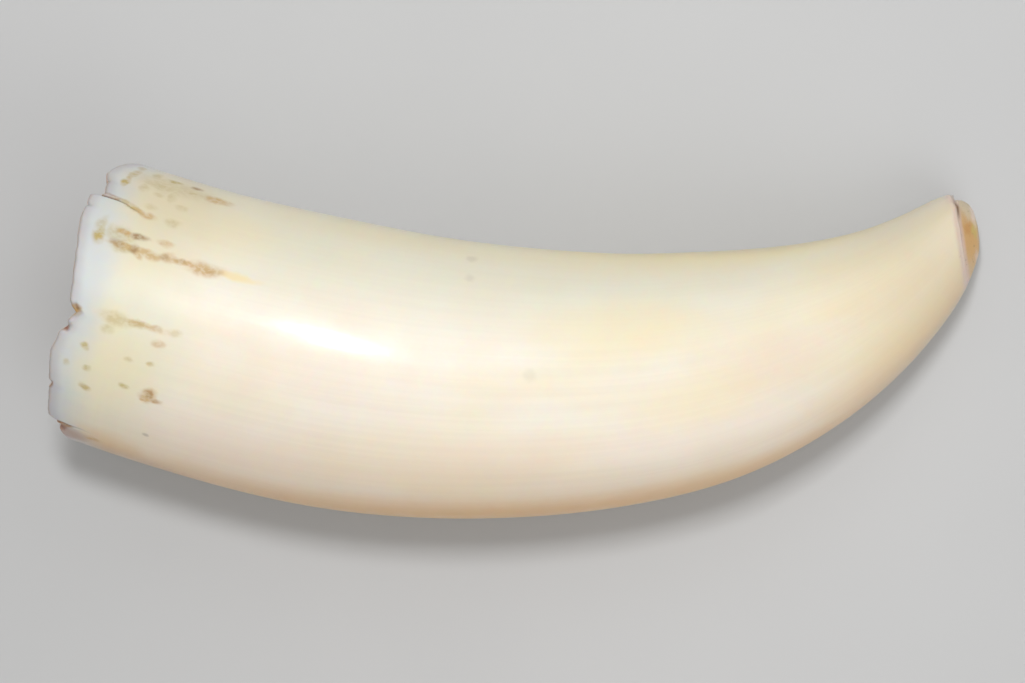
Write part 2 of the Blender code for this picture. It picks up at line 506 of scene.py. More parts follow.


# Distance in mm, angle in degrees, length, breadth, strength and turn of each stain. The
# pale and warm tints are mostly broad patches, and the dirt lies along cracks and pores. The
# tan along the bulging side is partly the dentine's own tone and partly painted shade of its
# lower flank, and the dull tint is painted shade at the point end, the hollow side and the root.
STAINS: dict[Tint, tuple[tuple[float, ...], ...]] = {
    Tint.GREEN: (
        (80, 24, 260, 44, 0.6), (12, 88, 30, 62, 0.75),
    ),
    Tint.YELLOW: (
        (31.6, 64.2, 9.5, 1.4, 0.75), (15, 62, 24, 14, 0.25), (15, 34, 26, 22, 0.4),
        (12, 95, 12, 7, 0.35), (16, 112, 16, 16, 0.3), (100.9, 67.5, 34, 13, 0.35),
        (112.9, 103.5, 26, 12, 0.35), (143.9, 79.5, 26, 12, 0.4), (158, 100, 60, 80, 0.4),
        (80, 16, 150, 14, 0.3), (24.1, 43, 26, 14, 0.3), (128, 2, 110, 28, 0.8),
    ),
    Tint.PINK: (
        (129.9, 107, 5, 1.2, 0.6, 25), (127.9, 96, 24, 12, 0.45), (37.8, 129.5, 30, 12, 0.4),
        (74.9, 124, 40, 10, 0.35),
    ),
    # tan of the bulging side: partly the dentine's own, partly painted shade of its lower flank
    Tint.TAN: (
        (85, 172, 190, 24, 0.85), (152, 172, 66, 40, 0.5), (85, 186, 200, 46, 0.45),
        (16, 164, 28, 16, 0.65),
    ),
    # painted shade: neutral darkening at the point end, along the hollow side and on the root
    Tint.DULL: (
        (158, 178, 46, 34, 0.5), (136, 0, 62, 16, 0.4), (170, 95, 46, 140, 0.35),
        (14, 28, 26, 30, 0.25),
    ),
    Tint.WHITE: (
        (6, 74, 13, 22, 0.75),
    ),
    Tint.ROSE: (
        (10.6, 160.5, 7.5, 7, 0.8), (18, 170, 26, 9, 0.35),
    ),
    Tint.GREY: (
        (23.5, 139, 1.1, 0.8, 0.55), (73.5, 30.5, 2.2, 2, 0.25), (73.4, 43.5, 2, 2, 0.2),
        (84.8, 86.5, 2.2, 2.2, 0.15),
    ),
    Tint.OLIVE: (
        (9.3, 46, 4.5, 1.3, 0.7, 20), (17.8, 48.2, 3.4, 1.9, 0.4), (12.8, 43.2, 2.8, 1.4, 0.25),
        (6.2, 33.2, 1.9, 2.4, 0.9), (6.7, 25, 1.4, 6.5, 0.65, 8), (7.2, 14.5, 1.6, 3, 0.5),
        (10.6, 19, 2.6, 3.6, 0.5), (14.3, 18.6, 3, 1.8, 0.95), (15, 24.5, 17, 6, 0.3),
        (12.3, 27.5, 7.5, 2.4, 0.45), (9.8, 32.5, 2, 2.8, 0.4), (13.1, 34, 2.6, 1.6, 0.35),
        (15.4, 32.5, 1.8, 3.4, 0.35, -10), (17.9, 25, 4.4, 1.7, 0.5), (18, 38.5, 2.4, 1.4, 0.3),
        (6.2, 59.2, 2.2, 3.4, 0.45), (6.5, 63.2, 2.3, 3.6, 0.95), (10, 60.6, 6.5, 3, 0.5),
        (11, 65.2, 4.6, 2.4, 0.6), (14.4, 92.9, 6.5, 2.2, 0.5), (17.9, 92.6, 5, 1.5, 0.55),
        (24.6, 91.6, 2.8, 1.2, 0.35), (13.5, 97.4, 2.6, 1.8, 0.4), (18.5, 106.5, 1.8, 1, 0.45),
        (21.8, 106.1, 1.8, 1, 0.65), (10.4, 107, 1.8, 1.2, 0.75), (8.6, 116.4, 1.3, 1.4, 0.4),
        (12, 116, 1.7, 1.2, 0.7), (12.2, 124.1, 2.6, 1.2, 0.75, 15), (18.6, 118, 1.9, 1.2, 0.7),
    ),
    Tint.OCHRE: (
        (11.5, 47.9, 4, 1.3, 0.6, 10), (13.2, 48.4, 2.8, 1.5, 0.65, -5), (23.4, 25, 6, 2.6, 0.75),
        (10.4, 59.1, 3, 1.2, 0.75), (17.9, 58.8, 3.4, 1.5, 0.5), (14, 64.8, 12, 1.3, 0.65),
        (22.6, 64.4, 9, 1.3, 0.7), (13.9, 66.6, 2.6, 1.1, 0.6, 30), (16.1, 65.2, 5.4, 1.5, 0.65),
        (19.4, 64.6, 3.4, 1.8, 0.55), (26, 64.5, 7, 2.7, 0.75, -4), (19.8, 92.3, 7, 1.3, 0.5),
        (22.3, 97.3, 2.6, 1.3, 0.5), (23.3, 120.4, 4, 1.2, 0.8, 6), (22.8, 118.8, 2.2, 2.8, 0.75),
        (22.5, 121.1, 1.4, 0.8, 0.7), (7.1, 95.2, 2.4, 2, 0.9), (14.7, 156.5, 3.2, 2, 0.6),
        (166.1, 116, 0.6, 0.5, 0.7),
    ),
    Tint.RUST: (
        (6.8, 102.4, 1.7, 1.5, 0.9), (9.5, 154.6, 2, 3.2, 1),
    ),
    Tint.UMBER: (
        (5.6, 44, 5, 0.9, 0.6, 3), (18.7, 18.7, 2.8, 1.6, 0.8), (13.3, 59.2, 3.4, 1.3, 0.85, 2),
        (9.9, 64.4, 2.8, 1.4, 0.45, 8), (13, 64.8, 1.7, 1.9, 0.65, 20),
        (18.7, 64.6, 2.2, 1.2, 0.4), (22, 64.1, 1.8, 0.8, 0.25), (27.8, 64.7, 3.4, 1, 0.15),
        (21.6, 92.1, 2.2, 0.9, 0.15), (22.8, 118.3, 1.4, 1.5, 0.5), (24.1, 120.6, 2, 0.8, 0.5, 8),
        (7.5, 93.8, 1.3, 0.9, 0.85), (6.6, 128.6, 0.9, 1.5, 0.7), (9.8, 151.6, 3, 1.5, 0.85),
    ),
}  # fmt: skip


@dataclass
class Rings:
    """Rings of points round the tooth, with what its finish reads from them."""

    points: Array
    distance: Array
    angle: Array
    rim_mm: Array  # how far behind the rim
    border_mm: Array  # how far before the border of the break
    crack: Array
    broken: Array
    inside: Array

    @classmethod
    def plain(cls, points: Array, distance: Array, angle: Array) -> "Rings":
        """Rings of which nothing is cracked, chipped, broken or inside the cavity."""
        zero = np.zeros(points.shape[:-1])
        far = zero + 99
        return cls(points, distance + zero, angle + zero, far, far, *[zero] * 3)

    @classmethod
    def joined(cls, parts: "list[Rings]") -> "Rings":
        """One set of rings after another."""
        names = cls.__dataclass_fields__
        return cls(*[np.concatenate([getattr(part, name) for part in parts]) for name in names])


@dataclass(frozen=True)
class SurfaceRelief:
    """What growth, wear and breakage left on the smooth form. Heights and pitches in mm."""

    chipping: float = 0.16  # how far the rim's fine breaks reach
    chip_pitch: float = 1.1
    undulation: float = 0.05
    undulation_pitch: float = 16.0
    ridges: float = 0.012  # fine ridges along the tooth
    ridge_pitch: float = 1.6
    bands: float = 0.012  # growth bands round the tooth
    band_pitch: float = 7.0
    cavity_rings: float = 0.16
    cavity_ring_pitch: float = 2.4
    scar: float = 0.14
    scar_pitch: float = 1.8
    seed: int = 7

    def tree(self, name: str, finishes: dict[str, Material]) -> Tree:
        """Build the tree that moves the surface and gives each part of it its finish.

        Args:
            name: The tree's name.
            finishes: Materials of the outside, the cavity and the broken places, by name.

        Returns:
            The tree, with an input for each of this class's values.
        """
        tree = bpy.data.node_groups.new(name, "GeometryNodeTree")
        sockets = [("Geometry", way, "NodeSocketGeometry") for way in ("INPUT", "OUTPUT")]
        for value_name in self.__dataclass_fields__:
            kind = "NodeSocketInt" if value_name == "seed" else "NodeSocketFloat"
            sockets.append((self.label(value_name), "INPUT", kind))
        for label, way, kind in sockets:
            tree.interface.new_socket(label, in_out=way, socket_type=kind)
        given = tree.nodes.new("NodeGroupInput").outputs
        kinds = dict.fromkeys(("straight_mm", "along", "scar_mm"), "FLOAT_VECTOR")
        kinds |= dict.fromkeys(("rim_mm", "broken", "inside"), "FLOAT")
        read = {
            key: add(tree, "GeometryNodeInputNamedAttribute", key, data_type=kind)
            for key, kind in kinds.items()
        }
        moved = self.worn(tree, given, read, self.chipped(tree, given, read))
        smooth = add(tree, "GeometryNodeSetShadeSmooth", moved)
        whole = add(tree, "GeometryNodeRealizeInstances", smooth)
        compare = {"data_type": "FLOAT", "operation": "GREATER_THAN"}
        for key, material in finishes.items():
            inputs = {"Geometry": whole, "Material": material}
            if key in read:
                inputs["Selection"] = add(tree, "FunctionNodeCompare", read[key], 0.5, **compare)
            whole = add(tree, "GeometryNodeSetMaterial", inputs)
        add(tree, "NodeGroupOutput", whole)
        return tree

    @staticmethod
    def label(value_name: str) -> str:
        """The name of the tree's input for one of the values."""
        return value_name.replace("_", " ").title()

    def chipped(self, tree: Tree, given: bpy.types.NodeOutputs, read: dict[str, Node]) -> Node:
        """Break the rim up finely, by moving it along the tooth.

        Args:
            tree: The tree.
            given: The tree's inputs.
            read: The mesh's own values, by name.

        Returns:
            The node whose geometry has the chipped rim.
        """
        flakes_per_mm, reach_mm = 0.42, (0.3, 3.0)  # full as far as 0.3 mm behind the rim
        round_it = (0.0, 1.0, 1.0)
        place = read["straight_mm"]
        place = add(tree, "ShaderNodeVectorMath", place, round_it, operation="MULTIPLY")
        scale = add(tree, "ShaderNodeMath", 1.0, given["Chip Pitch"], operation="DIVIDE")
        here = (place, given["Seed"])
        fine = add(tree, "ShaderNodeTexNoise", *here, scale, 3.0, noise_dimensions="4D")
        flakes = add(tree, "ShaderNodeTexVoronoi", *here, flakes_per_mm, voronoi_dimensions="4D")
        both = add(tree, "ShaderNodeMath", fine, 2.0, flakes, operation="MULTIPLY_ADD")
        centred = add(tree, "ShaderNodeMath", both, 1.5, operation="SUBTRACT")
        near = add(tree, "ShaderNodeMapRange", read["rim_mm"], *reach_mm, 1.0, 0.0, **SMOOTH)
        metres: Any = given["Chipping"]
        for factor in (near, centred, MM):
            metres = add(tree, "ShaderNodeMath", metres, factor, operation="MULTIPLY")
        offset = add(tree, "ShaderNodeVectorMath", read["along"], metres, operation="SCALE")
        inputs = {"Geometry": given["Geometry"], "Offset": offset}
        return add(tree, "GeometryNodeSetPosition", inputs)

    def worn(
        self, tree: Tree, given: bpy.types.NodeOutputs, read: dict[str, Node], geometry: Node
    ) -> Node:
        """Raise and sink the surface a little, as growth, wear and breakage left it.

        Args:
            tree: The tree.
            given: The tree's inputs.
            read: The mesh's own values, by name.
            geometry: The node whose geometry is moved.

        Returns:
            The node whose geometry has the relief.
        """
        either = add(tree, "ShaderNodeMath", read["broken"], read["inside"], operation="MAXIMUM")
        outside = add(tree, "ShaderNodeMath", 1.0, either, operation="SUBTRACT")
        where = read | {"outside": outside}
        total: Any = 0.0
        for height, pitch, stretch, detail, part in (
            # with the stretch of the pattern along and round the tooth
            ("Undulation", "Undulation Pitch", (0.6, 1.0, 1.0), 1.0, "outside"),
            ("Ridges", "Ridge Pitch", (0.03, 1.0, 1.0), 2.0, "outside"),
            ("Bands", "Band Pitch", (1.0, 0.06, 0.06), 1.0, "outside"),
            ("Cavity Rings", "Cavity Ring Pitch", (1.0, 0.12, 0.12), 2.0, "inside"),
            ("Scar", "Scar Pitch", (0.7, 1.0, 1.0), 2.0, "broken"),
        ):
            place = read["scar_mm" if part == "broken" else "straight_mm"]
            place = add(tree, "ShaderNodeVectorMath", place, stretch, operation="MULTIPLY")
            scale = add(tree, "ShaderNodeMath", 1.0, given[pitch], operation="DIVIDE")
            inputs = (place, given["Seed"], scale, detail)
            noise = add(tree, "ShaderNodeTexNoise", *inputs, noise_dimensions="4D")
            lift = add(tree, "ShaderNodeMath", noise, 2.0, -1.0, operation="MULTIPLY_ADD")
            for factor in (given[height], where[part]):
                lift = add(tree, "ShaderNodeMath", lift, factor, operation="MULTIPLY")
            total = add(tree, "ShaderNodeMath", total, lift, operation="ADD")
        # the strip that the tooth lies on stays flat
        above = add(tree, "ShaderNodeSeparateXYZ", add(tree, "GeometryNodeInputPosition"))
        free = add(tree, "ShaderNodeMapRange", above.outputs["Z"], 0.2 * MM, 3 * MM, **SMOOTH)
        for factor in (free, MM):
            total = add(tree, "ShaderNodeMath", total, factor, operation="MULTIPLY")
        normal = add(tree, "GeometryNodeInputNormal")
        offset = add(tree, "ShaderNodeVectorMath", normal, total, operation="SCALE")
        inputs = {"Geometry": geometry, "Offset": offset}
        return add(tree, "GeometryNodeSetPosition", inputs)

    def apply(self, piece: bpy.types.Object, finishes: dict[str, Material]) -> None:
        """Run the tree on a piece once, and keep the result as its plain mesh.

        Args:
            piece: The object, whose mesh has the values that the tree reads.
            finishes: Materials of the outside, the cavity and the broken places, by name.
        """
        modifier = piece.modifiers.new("surface relief", "NODES")
        modifier.node_group = self.tree("surface relief", finishes)
        names = {self.label(value_name): value_name for value_name in self.__dataclass_fields__}
        for item in modifier.node_group.interface.items_tree:
            if item.name in names:
                modifier[item.identifier] = getattr(self, names[item.name])
        smooth_mesh, graph = piece.data, bpy.context.evaluated_depsgraph_get()
        mesh = bpy.data.meshes.new_from_object(
            piece.evaluated_get(graph), preserve_all_data_layers=True, depsgraph=graph
        )
        piece.modifiers.remove(modifier)
        piece.data = mesh
        bpy.data.meshes.remove(smooth_mesh)
        mesh.name = piece.name


@dataclass(frozen=True)
class PolishedDentine:
    """Outside of the tooth: old dentine, ground and polished by hand, with a soft gloss."""

    name: str = "polished old dentine"
    cream: str = "#ECE6DA"
    yellow: str = "#E8DAB0"
    pink: str = "#EAD9C8"
    rim_white: str = "#C8CED0"
    rim_lilac: str = "#B6B4B8"
    rim_edge: str = "#928072"
    bevel: str = "#D9C3B9"
    dirt: str = "#73522C"
    roughness: float = 0.5
    dirt_roughness: float = 0.16  # how much rougher it is where it is dirty
    subsurface: float = 0.7
    wander_mm: Pair = (2.0, 1.3)  # how far the stains' borders wander

    def material(self) -> Material:
        """Build the material.

        Returns:
            The material, which reads the mesh's own values.
        """
        # Dentine is mineral and collagen in fine layers. Polished, it is a warm cream that
        # light enters a little way, so it glows softly and its gloss is broad. It has taken
        # up tea-coloured dirt along cracks and pores near the root, where it is also paler
        # and bluish because the wall is thin enough to see through.
        material, tree = begun(self.name)
        straight = add(tree, "ShaderNodeAttribute", attribute_name="straight_mm").outputs["Vector"]
        flat = self.unrolled(tree, straight)
        broken_up = uneven(tree, straight, (1.0, 0.7), (0.6, 1.0), (0.35, 0.6))
        colour, dirty = self.ground(tree, straight), 0.0
        # the tan of the bulging side is partly painted shade, and the dull tint is painted shade
        for tint in Tint:
            if tint is Tint.ROSE:  # the tints before it lie under the colours of the edges
                colour = self.edges(tree, straight, colour)
            amount: Any = 0.0
            for stain in (Stain(*row) for row in STAINS[tint]):
                centre = (stain.distance_mm, math.radians(stain.angle - 90) * UNROLLED_RADIUS_MM)
                size = (stain.length_mm, stain.breadth_mm)
                here = patch(tree, flat, centre, size, stain.strength, stain.turn)
                amount = add(tree, "ShaderNodeMath", amount, here, operation="MAXIMUM")
            if tint.is_dirt:
                amount = add(tree, "ShaderNodeMath", amount, broken_up, operation="MULTIPLY")
                dirty = add(tree, "ShaderNodeMath", dirty, amount, operation="MAXIMUM")
            layers = (amount, colour, linear(tint.value))
            colour = add(tree, "ShaderNodeMix", *layers, data_type="RGBA")
        crack = add(tree, "ShaderNodeAttribute", attribute_name="crack").outputs["Fac"]
        colour = add(tree, "ShaderNodeMix", crack, colour, linear(self.dirt), data_type="RGBA")
        span = (self.roughness - 0.04, self.roughness + 0.05)
        varied = uneven(tree, straight, (4.0, 4.0), span)
        rougher = (dirty, self.dirt_roughness, varied)
        shader = {
            "Base Color": colour,
            "Roughness": add(tree, "ShaderNodeMath", *rougher, operation="MULTIPLY_ADD"),
            "IOR": DENTINE_IOR,
            "Subsurface Weight": self.subsurface,
            "Subsurface Radius": (1.0, 0.55, 0.28),
            "Subsurface Scale": 2.5 * MM,
            "Specular IOR Level": 0.65,
            "Coat Weight": 0.35,
            "Coat Roughness": 0.18,
            "Normal": self.scratches(tree, straight),
        }
        add(tree, "ShaderNodeOutputMaterial", add(tree, "ShaderNodeBsdfPrincipled", shader))
        return material

    def unrolled(self, tree: Tree, straight: Socket) -> Node:
        """Unroll the outside, with a small wander that makes the stains' borders uneven.

        Args:
            tree: The material's tree.
            straight: Place on the straightened tooth, in mm.

        Returns:
            The node with the place along the tooth and round it, in mm.
        """
        parts = add(tree, "ShaderNodeSeparateXYZ", straight).outputs
        less = add(tree, "ShaderNodeMath", parts["Y"], -1.0, operation="MULTIPLY")
        angle = add(tree, "ShaderNodeMath", less, parts["Z"], operation="ARCTAN2")
        around = add(tree, "ShaderNodeMath", angle, UNROLLED_RADIUS_MM, operation="MULTIPLY")
        flat = add(tree, "ShaderNodeCombineXYZ", parts["X"], around)
        noise = add(tree, "ShaderNodeTexNoise", straight, 0.35, 2.0).outputs["Color"]
        noise = add(tree, "ShaderNodeVectorMath", noise, (0.5, 0.5, 0.5), operation="SUBTRACT")
        moved = (noise, (*self.wander_mm, 0.0), flat)
        return add(tree, "ShaderNodeVectorMath", *moved, operation="MULTIPLY_ADD")

    def ground(self, tree: Tree, straight: Socket) -> Node:
        """Cream with broad warm patches, fine lines along the tooth and bands round it.

        Args:
            tree: The material's tree.
            straight: Place on the straightened tooth, in mm.

        Returns:
            The node with the colour.
        """
        colour: Any = linear(self.cream)
        for tint, pitch_mm, seed, strength in (
            (self.yellow, (30.0, 16.0), 3.1, 0.3),
            (self.pink, (24.0, 11.0), 8.4, 0.35),
        ):
            amount = uneven(tree, straight, pitch_mm, (0.0, strength), (0.42, 0.66), seed, 2.5)
            colour = add(tree, "ShaderNodeMix", amount, colour, linear(tint), data_type="RGBA")
        fine_lines = uneven(tree, straight, (55.0, 0.8), (0.98, 1.01), seed=5.0)
        growth_bands = uneven(tree, straight, (9.0, 60.0), (0.992, 1.006), seed=2.0)
        # growth lines 0.8 mm apart, which show only where the wall is thin
        lines = uneven(tree, straight, (0.8, 30.0), (-0.035, 0.015), seed=4.0)
        behind = add(tree, "ShaderNodeAttribute", attribute_name="rim_mm").outputs["Fac"]
        thin = add(tree, "ShaderNodeMapRange", behind, 3.0, 18.0, 1.0, 0.0, **SMOOTH)
        lines = add(tree, "ShaderNodeMath", thin, lines, 1.0, operation="MULTIPLY_ADD")
        for shade in (fine_lines, growth_bands, lines):
            colour = add(tree, "ShaderNodeVectorMath", colour, shade, operation="SCALE")
        return colour

    def edges(self, tree: Tree, straight: Socket, colour: Node) -> Node:
        """Whiten the thin rim and the bevel beside the break, and darken the rim's very edge.

        Args:
            tree: The material's tree.
            straight: Place on the straightened tooth, in mm.
            colour: The colour so far.

        Returns:
            The node with the colour.
        """
        noise = add(tree, "ShaderNodeTexNoise", straight, 0.22, 2.0)
        for name, tint, near_mm, far_mm, strength, wander_mm in (
            ("rim_mm", self.rim_white, 0.5, 8.5, 0.92, 3.0),
            ("rim_mm", self.rim_lilac, 0.4, 2.6, 0.75, 1.0),
            ("rim_mm", self.rim_edge, 0.0, 0.7, 0.4, 0.5),
            ("border_mm", self.bevel, 0.3, 2.0, 0.8, 0.8),
        ):
            away = add(tree, "ShaderNodeAttribute", attribute_name=name).outputs["Fac"]
            wavy = add(tree, "ShaderNodeMath", noise, wander_mm, away, operation="MULTIPLY_ADD")
            span = (near_mm + wander_mm / 2, far_mm + wander_mm / 2)
            amount = add(tree, "ShaderNodeMapRange", wavy, *span, strength, 0.0, **SMOOTH)
            colour = add(tree, "ShaderNodeMix", amount, colour, linear(tint), data_type="RGBA")
        return colour

    def scratches(self, tree: Tree, straight: Socket) -> Node:
        """Bump of the hand polish: hair-fine lines along the tooth, too fine to model."""
        lines = uneven(tree, straight, (8.0, 0.33), (0.0, 1.0), (0.0, 1.0))
        bump = {"Height": lines, "Strength": 0.05, "Distance": 0.05 * MM}
        return add(tree, "ShaderNodeBump", bump)


@dataclass(frozen=True)
class CavityWall:
    """Wall of the pulp cavity: dentine as it grew, never polished, in matt rings."""

    name: str = "unpolished dentine of the pulp cavity"
    pale: str = "#D8C49A"
    brown: str = "#9A7645"
    ring_mm: float = 2.4
    roughness: float = 0.62

    def material(self) -> Material:
        """Build the material.

        Returns:
            The material, which reads the mesh's own values.
        """
        # The pulp laid this dentine down in rings. It was never polished, so it is matt, and
        # what seeped in has dried on it in brown tide marks, darker towards the narrow end.
        material, tree = begun(self.name)
        straight = add(tree, "ShaderNodeAttribute", attribute_name="straight_mm").outputs["Vector"]
        along = add(tree, "ShaderNodeSeparateXYZ", straight).outputs["X"]
        total = add(tree, "ShaderNodeMapRange", along, 5.0, 55.0, 0.0, 0.35)
        for part in (
            uneven(tree, straight, (self.ring_mm, 20.0), (0.15, 0.45), detail=3.0),
            uneven(tree, straight, (6.2, 6.2), (0.3, 0.7), detail=4.0),
        ):
            total = add(tree, "ShaderNodeMath", total, part, operation="ADD")
        amount = add(tree, "ShaderNodeMapRange", total, 0.65, 1.1)
        layers = (amount, linear(self.pale), linear(self.brown))
        grain = uneven(tree, straight, (0.4, 0.4), (0.0, 1.0), (0.0, 1.0), detail=4.0)
        bump = {"Height": grain, "Strength": 0.4, "Distance": 0.1 * MM}
        shader = {
            "Base Color": add(tree, "ShaderNodeMix", *layers, data_type="RGBA"),
            "Roughness": self.roughness,
            "IOR": DENTINE_IOR,
            "Subsurface Weight": 0.15,
            "Subsurface Radius": (1.0, 0.66, 0.4),
            "Subsurface Scale": 1.5 * MM,
            "Normal": add(tree, "ShaderNodeBump", bump),
        }
        add(tree, "ShaderNodeOutputMaterial", add(tree, "ShaderNodeBsdfPrincipled", shader))
        return material


@dataclass(frozen=True)
class BrokenDentine:
    """Where dentine has broken: the scar at the point, and the edge of the root's rim."""

    name: str = "broken dentine"
    pale: str = "#CDBDA0"
    blush: str = "#E2D0C8"
    amber: str = "#CEA366"
    orange: str = "#C38D4A"
    olive: str = "#C6AE62"
    tan: str = "#D0B48C"
    worn: str = "#D9BFB2"
    dirt: str = "#73522C"
    roughness: float = 0.42

    def material(self) -> Material:
        """Build the material.

        Returns:
            The material, which reads the mesh's own values.
        """
        # Broken dentine has a shell-like, faintly rippled face. At the point it has gone
        # amber from handling and dirt, and only the thin edge of the lip is still pale.
        material, tree = begun(self.name)
        scar = add(tree, "ShaderNodeAttribute", attribute_name="scar_mm").outputs["Vector"]
        noise = add(tree, "ShaderNodeTexNoise", scar, 0.7, 3.0).outputs["Color"]
        parts = add(tree, "ShaderNodeSeparateXYZ", scar).outputs
        above = add(tree, "ShaderNodeCombineXYZ", parts["X"], parts["Z"])
        moved = (noise, (1.8, 1.0, 0.0), above)
        place = add(tree, "ShaderNodeVectorMath", *moved, operation="MULTIPLY_ADD")
        colour: Any = linear(self.pale)
        for tint, centre, size, strength in (
            # across and out of the face in mm, from the middle of the noise's reach
            (self.tan, (-2.8, 2.0), (12.6, 9.0), 0.95),
            (self.amber, (0.1, 1.6), (9.2, 5.0), 0.9),
            (self.amber, (4.4, 0.9), (3.4, 1.8), 0.6),
            (self.orange, (2.3, 1.8), (3.0, 2.4), 0.7),
            (self.olive, (1.9, 3.0), (3.0, 1.3), 0.95),
            (self.blush, (4.8, 3.2), (4.8, 1.1), 0.7),
            (self.blush, (-3.3, 2.8), (2.8, 0.9), 0.6),
        ):
            centre = (centre[0] + 0.9, centre[1] + 0.5)
            amount = patch(tree, place, centre, size, strength, soft=(0.35, 1.3))
            colour = add(tree, "ShaderNodeMix", amount, colour, linear(tint), data_type="RGBA")
        foot = add(tree, "ShaderNodeMapRange", parts["Z"], 0.35, 1.05, 0.85, 0.0, **SMOOTH)
        specks = uneven(tree, scar, (0.8, 0.8), (0.0, 0.4), (0.62, 0.74))
        crack = add(tree, "ShaderNodeAttribute", attribute_name="crack").outputs["Fac"]
        for amount, tint in ((foot, self.worn), (specks, self.dirt), (crack, self.dirt)):
            colour = add(tree, "ShaderNodeMix", amount, colour, linear(tint), data_type="RGBA")
        grain = uneven(tree, scar, (0.33, 0.33), (0.0, 1.0), (0.0, 1.0), detail=4.0)
        bump = {"Height": grain, "Strength": 0.3, "Distance": 0.1 * MM}
        shader = {
            "Base Color": colour,
            "Roughness": self.roughness,
            "IOR": DENTINE_IOR,
            "Subsurface Weight": 0.2,
            "Subsurface Radius": (1.0, 0.6, 0.3),
            "Subsurface Scale": 1.2 * MM,
            "Normal": add(tree, "ShaderNodeBump", bump),
        }
        add(tree, "ShaderNodeOutputMaterial", add(tree, "ShaderNodeBsdfPrincipled", shader))
        return material


@dataclass(frozen=True)
class MattBoard:
    """Floor: card with a matt pale coat of paint, slightly uneven."""

    name: str = "matt painted board"
    paint: str = "#C4C5C6"

    def material(self) -> Material:
        """Build the material.

        Returns:
            The material, which reads Object coordinates.
        """
        # Emulsion paint rolled on card scatters light evenly, so it has no gloss, and it
        # varies only by a trace where the coat is thicker.
        material, tree = begun(self.name)
        place = add(tree, "ShaderNodeTexCoord").outputs["Object"]
        cloudy = add(tree, "ShaderNodeTexNoise", place, 9.0, 3.0)
        shade = add(tree, "ShaderNodeMapRange", cloudy, 0.3, 0.7, 0.97, 1.02)
        paint = linear(self.paint)[:3]
        colour = add(tree, "ShaderNodeVectorMath", paint, shade, operation="SCALE")
        shader = {"Base Color": colour, "Roughness": 0.9}
        add(tree, "ShaderNodeOutputMaterial", add(tree, "ShaderNodeBsdfPrincipled", shader))
        return material


